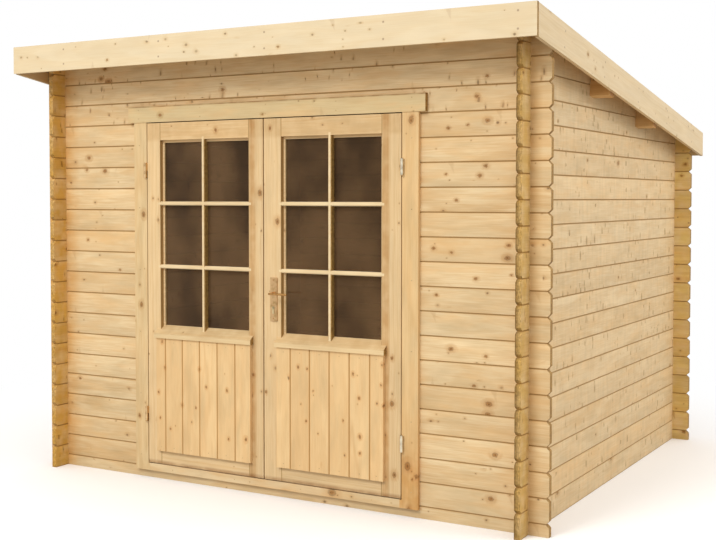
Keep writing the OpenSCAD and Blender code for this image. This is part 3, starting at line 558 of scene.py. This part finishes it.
for side in ("left", "right"):
    low, high = box(side + "_fascia")
    top = high[2] * math.cos(PITCH) + low[1] * math.sin(PITCH)
    finish[side + "_fascia"] = spruce(
        f"Planed spruce fascia, {side}", "Y", "Z", slope=PITCH,
        middle=(top - fascia["half"], midway(side + "_fascia", 0)), nails=(560.0, -1100.0, 36.0, 5.0), **fascia
    )
    low, high = box(side + "_leaf_frame")
    inner = midway(side + "_glass", 0)
    finish[side + "_leaf_frame"] = spruce(
        f"Planed spruce, {side} leaf", "Z", "X", middle=(inner, -1177.0),
        members=(inner, 283.0, (high[2] - 1752, high[2] - 1152, high[2] - 45)),
        # Painted shade: the panel's shadow on the stile beside it, partly a darker grain streak; a darker top
        # rail under the casing; greyer at the foot over the sill
        bands=(("X", inner + 284, inner + 290, inner + 316, inner + 328, 0.6, "#d0ab6c"),
               ("Z", 1780.0, 1800.0, *TO_HIGH, 1.0, "#f1ebe2"),
               ("Z", 84.0, 86.0, 91.0, 106.0, 0.9, "#c4b3a8")),
        knots=((1374, 67, 10), (1835, 24, 6), (742, 710, 6), (526, 711, 9), (192, 724, 9), (522, -3, 5),
               (1515, -37, 11), (1835, -310, 7), (315, -696, 6), (499, -90, 5), (602, -80, 6)),
        Pale="#ebce9f", Late="#d5ae78", Blush="#e8c590", Variety=0.75, Knots=0.0, Pins=0.16,
    )
    finish[side + "_glazing_bars"] = spruce(
        f"Planed spruce, {side} glazing bars", "X", "Z", middle=(1300.0, 0.0), Knots=0.0, Pins=0.0,
        Pale="#f4deb4", Late="#e8c994", Variety=0.5,
    )
    finish[side + "_glass_beads"] = finish[side + "_leaf_frame"]
    # Painted shade: the weather bar's upper, sloping part is darker than its nose
    finish[side + "_weather_bar"] = spruce(
        f"Planed spruce, {side} weather bar", "X", "Z", middle=(780.0, 0.0), Knots=0.05, Pins=0.1,
        bands=(("Z", 774.0, 780.0, *TO_HIGH, 1.0, "#ece4da"),), Pale="#f0d6a6", Late="#e4c08a", Variety=0.6,
    )
    low, high = box(side + "_panel")
    finish[side + "_panel"] = spruce(
        f"Spruce boards, {side} panel", "Z", "X", PANEL_BOARD, low[0] + FIRST_BOARD[side],
        knots=PANEL_KNOTS[side], seam="#b98a48", Pale="#f3d09a", Late="#e2b47a", Knots=0.0, Pins=0.08,
        Variety=0.8,
    )
    finish[side + "_post"] = spruce(
        f"Planed spruce, {side} post", "Z", "X", middle=(midway(side + "_post", 0), 0.0), half=48.0,
        Pale={"left": "#e8cc9b", "right": "#e4c491"}[side], Late="#d3ab72", Knots=0.0, Pins=0.1,
        knots=((1849, 808, 11), (241, 793, 13), (197, 839, 7), (183, 818, 4), (37, 800, 9), (1402, -786, 10),
               (922, -805, 9), (1029, -745, 5), (328, -821, 7)),
        bands=(("Z", 0.0, 1.0, 180.0, 520.0, 1.0, "#efdabc"),) if side == "right" else (),
    )
# Painted shade: a dark line along the casing's top edge, where it meets the logs
finish["head_casing"] = spruce(
    "Planed spruce casing", "X", "Z", middle=(midway("head_casing", 2), 0.0), half=42.0,
    bands=(("Z", 1963.0, 1967.0, *TO_HIGH, 0.7, "#a98550"),), knots=((-667, 1923, 7), (-20, 1905, 4)),
    Pale="#d8c294", Late="#caab78", Knots=0.1, Pins=0.15,
)
finish["door_head"] = finish["head_casing"]
# Painted shade: the sill is greyer along its top, under the leaves
finish["door_sill"] = spruce(
    "Planed spruce sill", "X", "Z", middle=(67.0, 0.0), knots=((382, 66, 15),),
    bands=(("Z", 84.0, 89.0, 200.0, 201.0, 0.8, "#cdbba2"),),
    Pale="#e9d4ac", Late="#d9bc90", Knots=0.1, Pins=0.2,
)
# Darker and more orange than the other spruce, partly as painted shade under the eaves
for node in ("front_purlin", "rear_purlin"):
    finish[node] = spruce(
        f"Planed spruce, {node}", "X", "Z", middle=(midway(node, 2), midway(node, 1)), Pale="#ddb276",
        Late="#c9975a", Cut="#b07c3e",
    )
finish["roof_boards"] = spruce("Planed spruce roof boards", "Y", "X", ROOF_BOARD, -1487.0, slope=PITCH)
finish["floor_boards"] = spruce("Planed spruce floor boards", "X", "Y", FLOOR_BOARD, -1146.0)
finish["floor_bearers"] = spruce(
    "Pressure-treated bearers", "Y", "X", Pale="#9a8c5c", Late="#77683e", Blush="#8c7a4c", Grey="#7d7650",
    Cut="#6b5d38",
)
felt = roofing_felt()
finish["roof_felt"] = felt
finish["left_glass"] = finish["right_glass"] = pane()
# Old-gold anodised aluminium, satin: plates brushed up and down, the lever browner and brushed along
gold = metal("Old-gold brushed lever fittings", "#cba678", "#a5824f", 0.34, (60.0, 60.0, 4.0))
grip = metal("Old-gold lever", "#b98e58", "#8a6238", 0.3, (4.0, 60.0, 60.0))
# Zinc plate on rolled steel: a soft grey, tinted cream as a painted reflection of the wood round it
zinc = metal("Zinc-plated hinges", "#dfd5bd", "#b5a88c", 0.36)
# The left leaf's hinges: the same satin zinc, made straw-coloured like the posts it sits on, as painted shade
# and painted reflection of the wood
shaded_zinc = metal("Zinc hinges with painted shade", "#d8b88a", "#b08a58", 0.34)
nail_steel = metal("Yellow-passivated nails", "#cdb084", "#a38458", 0.42)
# Nickel on turned brass: warm and a little sharper in its reflections
nickel = metal("Nickel-plated lock cylinder", "#d8c396", "#ad9668", 0.3)
# Hot-dip galvanised steel: a dull grey that stands out pale on the felt
galvanised = metal("Galvanised clout nails", "#b7b3aa", "#85817a", 0.42)
# The slot goes deep into the cylinder, so it shows nearly black: this dark colour is painted shade
keyway = metal("Dark keyway", "#2c241c", "#1c1712", 0.5)
finish["lever_plates"] = gold
finish["lever_handle"] = grip
finish["lock_cylinder"] = nickel
for side, plating in (("left", shaded_zinc), ("right", zinc)):
    finish[side + "_hinge_pins"] = finish[side + "_hinge_knuckles"] = plating
for node, material in finish.items():
    NODES[node].data.materials.clear()
    NODES[node].data.materials.append(material)
left_out = sorted(set(NODES) - set(finish))
if left_out:
    raise SystemExit(f"no finish for {left_out}")


# ---------------------------------------------------------------- nails and screws


def fastener_tree():
    """Heads on loose points: a cone cut flat, with a sunk middle, turned to the way each point looks."""
    tree = bpy.data.node_groups.new("Fastener heads", "GeometryNodeTree")
    tree.is_modifier = True
    tree.interface.new_socket("Geometry", in_out="INPUT", socket_type="NodeSocketGeometry")
    for name, kind, value in (
        ("Radius", "Float", 0.003),
        ("Height", "Float", 0.0008),
        ("Crown", "Float", 0.8),
        ("Recess", "Float", 0.4),
        ("Finish", "Material", None),
    ):
        socket = tree.interface.new_socket(name, in_out="INPUT", socket_type="NodeSocket" + kind)
        if value is not None:
            socket.default_value = value
    tree.interface.new_socket("Geometry", in_out="OUTPUT", socket_type="NodeSocketGeometry")
    entry = tree.nodes.new("NodeGroupInput").outputs
    leave = tree.nodes.new("NodeGroupOutput").inputs
    node = functools.partial(add, tree)
    crown = node(MATH, entry["Radius"], entry["Crown"], operation="MULTIPLY")
    blank = (10, 1, 1, crown, entry["Radius"], entry["Height"])
    blank = node("GeometryNodeMeshCone", *blank, out=None, fill_type="NGON")
    rim = node("GeometryNodeExtrudeMesh", blank["Mesh"], blank["Top"], None, 0.0, False, out=None)
    sunk = node("GeometryNodeScaleElements", rim["Mesh"], rim["Top"], entry["Recess"])
    deep = node(MATH, entry["Height"], -0.6, operation="MULTIPLY")
    head = node("GeometryNodeExtrudeMesh", sunk, rim["Top"], None, deep, False)
    way = node("GeometryNodeInputNamedAttribute", "out", data_type="FLOAT_VECTOR")
    turn = node("FunctionNodeAlignRotationToVector", None, 1.0, way, axis="Z")
    spin = {2: 0.0, 3: 6.283, 8: 11}  # lowest, highest and seed
    spin = node("FunctionNodeRandomValue", spin, out=1, data_type="FLOAT")
    spin = node("FunctionNodeAxisAngleToRotation", (0, 0, 1), spin)
    turn = node("FunctionNodeRotateRotation", turn, spin, rotation_space="LOCAL")
    heads = {"Points": entry["Geometry"], "Instance": head, "Rotation": turn}
    heads = node("GeometryNodeInstanceOnPoints", heads)
    heads = node("GeometryNodeRealizeInstances", heads)
    tree.links.new(node("GeometryNodeSetMaterial", heads, None, entry["Finish"]), leave["Geometry"])
    return tree


FASTENERS = fastener_tree()
SOCKETS = {item.name: item.identifier for item in FASTENERS.interface.items_tree if item.in_out == "INPUT"}


def link(name, mesh):
    """Puts a mesh into the scene as a piece."""
    piece = bpy.data.objects.new(name, mesh)
    bpy.context.scene.collection.objects.link(piece)
    return piece


def built(name, body, material, build):
    """A piece that the function build makes in an empty bmesh, in metres."""
    bm = bmesh.new()
    build(bm)
    bmesh.ops.recalc_face_normals(bm, faces=bm.faces)
    mesh = bpy.data.meshes.new(name)
    bm.to_mesh(mesh)
    bm.free()
    mesh.materials.append(material)
    piece = link(name, mesh)
    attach(piece, body)


def fasteners(name, body, slot, spots, finish_material, **sizes):
    """One piece of nail or screw heads from (place, way out) pairs in metres."""
    mesh = bpy.data.meshes.new(name)
    mesh.from_pydata([place for place, _ in spots], [], [])
    out = mesh.attributes.new("out", "FLOAT_VECTOR", "POINT")
    for item, (_, way) in zip(out.data, spots):
        item.vector = way
    piece = link(name, mesh)
    heads = piece.modifiers.new("heads", "NODES")
    heads.node_group = FASTENERS
    heads[SOCKETS["Finish"]] = finish_material
    for key, value in sizes.items():
        heads[SOCKETS[key]] = value
    ready = piece.evaluated_get(bpy.context.evaluated_depsgraph_get())
    plain = bpy.data.meshes.new_from_object(ready)
    piece.modifiers.clear()
    piece.data = plain
    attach(piece, body)


def grid(xs, ys, zs, way):
    """Every place out of xs, ys and zs in mm, as spots that look the same way."""
    return [(Vector((x, y, z)) / 1000, way) for x in xs for y in ys for z in zs]


def evenly(start, stop, count):
    """Values from start to stop, both counted in."""
    return [start + i * (stop - start) / (count - 1) for i in range(count)]


FRONT, BACK, UP = (0, -1, 0), (0, 1, 0), (0, 0, 1)
# How far from the middle of the doorway the posts are nailed, outside and inside
OUTER_ROW, INNER_ROW = 812, 825
low, high = box("head_casing")
across = evenly(low[0] + 70, high[0] - 70, 5)
house_nails = grid(across, [low[1]], [low[2] + 20, high[2] - 20], FRONT)
for side, way in (("left", -1), ("right", 1)):
    low, high = box(side + "_post")
    house_nails += grid([way * OUTER_ROW], [low[1]], evenly(low[2] + 80, high[2] - 120, 6), FRONT)
    house_nails += grid([way * INNER_ROW], [high[1]], evenly(low[2] + 120, high[2] - 120, 5), BACK)
low, high = box("door_sill")
house_nails += grid([-600, -200, 200, 600], [low[1]], [58], FRONT)
low, high = box("floor_boards")
bearers_low, bearers_high = box("floor_bearers")
over_bearers = evenly(bearers_low[0] + 22, bearers_high[0] - 22, 6)
boards = int((high[1] - low[1]) / FLOOR_BOARD)
rows = [low[1] + FLOOR_BOARD * i + edge for i in range(boards) for edge in (28, 82)]
house_nails += grid(over_bearers, rows, [high[2]], UP)
fasteners(
    "house_nails", "house", "hinge_brass", house_nails, nail_steel, Radius=0.0032, Height=0.0006, Crown=0.75
)

for side, first in FIRST_BOARD.items():
    low, high = box(side + "_panel")
    joints = [low[0] + first + PANEL_BOARD * i for i in range(6)]
    cuts = [low[0], *[x for x in joints if x < high[0] - 15], high[0]]
    centres = [(a + b) / 2 for a, b in zip(cuts, cuts[1:])]
    fasteners(
        side + "_panel_pins", side + "_door", "hinge_brass",
        grid(centres, [low[1]], [low[2] + 22, high[2] - 22], FRONT), nail_steel, Radius=0.0024, Height=0.0005,
    )
low, high = box("lever_plates")
lever_x = (low[0] + high[0]) / 2
plate_screws = grid([lever_x], [low[1]], [low[2] + 12, high[2] - 12], FRONT)
plate_screws += grid([lever_x], [high[1]], [low[2] + 12, high[2] - 12], BACK)
fasteners(
    "lever_plate_screws", "right_door", "lever_brass", plate_screws, grip,
    Radius=0.0042, Height=0.0014, Crown=0.6, Recess=0.45,
)


# ---------------------------------------------------------------- felt laps and clout nails

felt_low, felt_high = box("roof_felt")


def felt_top(y):
    """Height of the felt's face at y, in mm."""
    return felt_high[2] - (y - felt_low[1]) * math.tan(PITCH)


LAPS = (-430.0, 480.0)


def felt_laps(bm):
    """Where a sheet laps the one below it: a wedge with an uneven lower edge, 2 mm thick there."""
    dice = random.Random(4)
    for lap in LAPS:
        rows = []
        for i, x in enumerate(evenly(felt_low[0] + 1, felt_high[0] - 1, 121)):
            edge = lap + 1.6 * math.sin(i / 7.0) + dice.uniform(-1.2, 1.2)
            thick = 2.2 + 0.5 * math.sin(i / 3.0 + lap)
            wedge = ((0, -0.4), (0.8, thick), (9, thick + 0.3), (80, 0.25), (82, -0.4))
            wedge = [(x, edge - back, felt_top(edge - back) + up) for back, up in wedge]
            rows.append([bm.verts.new(Vector(corner) / 1000) for corner in wedge])
        for a, b in zip(rows, rows[1:]):
            for j in range(5):
                bm.faces.new((a[j], a[(j + 1) % 5], b[(j + 1) % 5], b[j]))
        bm.faces.new(rows[0])
        bm.faces.new(rows[-1])


built("felt_laps", "house", felt, felt_laps)
off_roof = (0, math.sin(PITCH), math.cos(PITCH))
edges = [(x, y) for y in (felt_low[1] + 14, felt_high[1] - 14) for x in range(-1460, 1461, 80)]
edges += [(x, y) for x in (felt_low[0] + 14, felt_high[0] - 14) for y in range(-1360, 1361, 80)]
clouts = [(Vector((x, y, felt_top(y))) / 1000, off_roof) for x, y in edges]
edges = [(x, lap - 14) for lap in LAPS for x in range(-1460, 1461, 60)]
clouts += [(Vector((x, y, felt_top(y) + 2.3)) / 1000, off_roof) for x, y in edges]
fasteners(
    "felt_clouts", "house", "hinge_brass", clouts, galvanised,
    Radius=0.005, Height=0.0011, Crown=0.85, Recess=0.6,
)


# ---------------------------------------------------------------- lock details


def stack(bm, loops):
    """Joins loops of points in mm into a closed solid, each loop with the next one."""
    loops = [[bm.verts.new(Vector(point) / 1000) for point in loop] for loop in loops]
    for a, b in zip(loops, loops[1:]):
        for i in range(len(a)):
            j = (i + 1) % len(a)
            bm.faces.new((a[i], a[j], b[j], b[i]))
    bm.faces.new(loops[0])
    bm.faces.new(loops[-1])


def rounded_plate(bm, centre, width, height, thick, way):
    """A thin plate on an upright face that looks along X, with round ends and a soft outer edge."""
    x, y, z = centre
    radius = width / 2
    ring = []
    for end in (1, -1):
        for angle in evenly(0, math.pi, 9):
            up = height / 2 - radius + radius * math.sin(angle)
            ring.append((end * radius * math.cos(angle), end * up))
    loops = []
    for inset, out in ((0, 0), (0, 0.6), (0.12, 1.0)):
        narrow, short = 1 - inset, 1 - inset * width / height
        loops.append([(x + way * thick * out, y + a * narrow, z + b * short) for a, b in ring])
    stack(bm, loops)


leaf_low, leaf_high = box("right_leaf_frame")
other_edge = box("left_leaf_frame")[1][0]
lock_y = (leaf_low[1] + leaf_high[1]) / 2
lock_low, lock_high = box("lock_cylinder")
lock_z = lock_high[2] - 8.5
FACE_Z = lock_z + 30
FACE = (20, 205, 0.8)  # width, height and thickness of the plates let into the edges


def latch_face(bm):
    """Forend of the mortice lock with its latch nose and bolt, on the edge of the leaf."""
    rounded_plate(bm, (leaf_low[0], lock_y, FACE_Z), *FACE, -1)
    for up, tall in ((84, 26), (-2, 32)):
        place = Matrix.Translation(Vector((leaf_low[0] - 0.4, lock_y, lock_z + up)) / 1000)
        shape = Matrix.Diagonal((0.0022, 0.011, tall / 1000, 1))
        made = bmesh.ops.create_cube(bm, size=1.0, matrix=place @ shape)
        edges = list({edge for corner in made["verts"] for edge in corner.link_edges})
        bmesh.ops.bevel(bm, geom=edges, offset=0.0006, segments=2, affect="EDGES")


def strike_face(bm):
    """The plate opposite, on the edge of the other leaf."""
    rounded_plate(bm, (other_edge, lock_y, FACE_Z), *FACE, 1)


built("latch_face", "right_door", nickel, latch_face)
built("strike_face", "left_door", nickel, strike_face)
screws = grid([leaf_low[0] - FACE[2]], [lock_y], [FACE_Z - 90, FACE_Z + 90], (-1, 0, 0))
fasteners(
    "latch_screws", "right_door", "lever_brass", screws, zinc,
    Radius=0.0035, Height=0.0006, Crown=0.7, Recess=0.4,
)
KEY = (
    (-1.3, 5.5), (1.3, 5.5), (1.3, 1.0), (2.1, 0.0), (1.1, -1.4),
    (1.1, -6.0), (-1.1, -6.0), (-1.1, -1.0), (-0.2, 0.4), (-1.3, 1.6),
)


def keyways(bm):
    """The slot a key goes into, on both faces of the cylinder, as a dark sheet of painted shade."""
    for y, way in ((lock_low[1], -1), (lock_high[1], 1)):
        stack(bm, [[(lever_x + a, y + way * out, lock_z + b) for a, b in KEY] for out in (-0.2, 0.35)])


built("keyways", "right_door", keyway, keyways)


# ---------------------------------------------------------------- stage, lamps and camera


WHITE = (1, 1, 1, 1)


def seen(node):
    """1 for what the camera sees, straight, mirrored or through glass, and 0 for scattered light."""
    rays = node("ShaderNodeLightPath", out=None)
    straight = node(MATH, rays["Is Camera Ray"], rays["Is Glossy Ray"], operation="MAXIMUM")
    return node(MATH, straight, rays["Is Transmission Ray"], operation="MAXIMUM")


def studio():
    """Soft light all round, a pale floor that fades into white, and two large round lamps."""
    world = bpy.data.worlds.new("Soft sky")
    bpy.context.scene.world = world
    world.use_nodes = True
    tree = world.node_tree
    tree.nodes.clear()
    node = functools.partial(add, tree)
    sky = node("ShaderNodeBackground", linear("#fdfdfd"), 0.96)
    white = node("ShaderNodeBackground", WHITE, 1.0)
    surface = tree.nodes.new("ShaderNodeOutputWorld").inputs["Surface"]
    tree.links.new(node("ShaderNodeMixShader", seen(node), sky, white), surface)

    bpy.ops.mesh.primitive_plane_add(size=80, location=(0, 0, -0.0005))
    ground = bpy.context.object
    ground.name = "studio_floor"
    material, tree = start_material("Pale studio floor")
    node = functools.partial(add, tree)
    shown = seen(node)
    far = node(VECTOR, node("ShaderNodeTexCoord", out="Object"), out="Value", operation="LENGTH")
    far = node(MATH, node(RANGE, far, 2.0, 3.7, **SMOOTH), shown, operation="MULTIPLY")
    paint = node(MIX, {0: shown, 6: linear("#b4afa6"), 7: WHITE}, **TINT)
    matte = node("ShaderNodeBsdfDiffuse", paint)
    glow = node("ShaderNodeEmission", WHITE, 1.0)
    show(tree, node("ShaderNodeMixShader", far, matte, glow))
    ground.data.materials.append(material)

    for name, place, target, size, watts in (
        ("key_lamp", (-0.9, -8.9, 7.3), (0, -0.6, 1.0), 4.0, 404),
        ("side_lamp", (9.0, 0.6, 6.0), (1.4, 0.0, 1.0), 5.0, 215),
    ):
        data = bpy.data.lights.new(name, "AREA")
        data.shape = "DISK"
        data.size = size
        data.energy = watts
        data.color = linear("#fffcf8")[:3]
        lamp = bpy.data.objects.new(name, data)
        bpy.context.scene.collection.objects.link(lamp)
        lamp.location = place
        lamp.rotation_euler = (Vector(target) - Vector(place)).to_track_quat("-Z", "Y").to_euler()


def camera():
    """Eye height, standing off the right front corner."""
    data = bpy.data.cameras.new("view")
    data.sensor_width = 36
    data.lens = 58.349
    data.shift_y = -0.0402
    ob = bpy.data.objects.new("camera", data)
    bpy.context.scene.collection.objects.link(ob)
    turn = Matrix.Rotation(math.radians(30.016), 4, "Z")
    tilt = Matrix.Rotation(math.radians(90 - 2.130), 4, "X")
    roll = Matrix.Rotation(math.radians(0.032), 4, "Z")
    ob.matrix_world = Matrix.Translation((3.2755, -5.9564, 1.4898)) @ turn @ tilt @ roll
    bpy.context.scene.camera = ob


studio()
camera()
bpy.context.scene.view_settings.view_transform = "Standard"
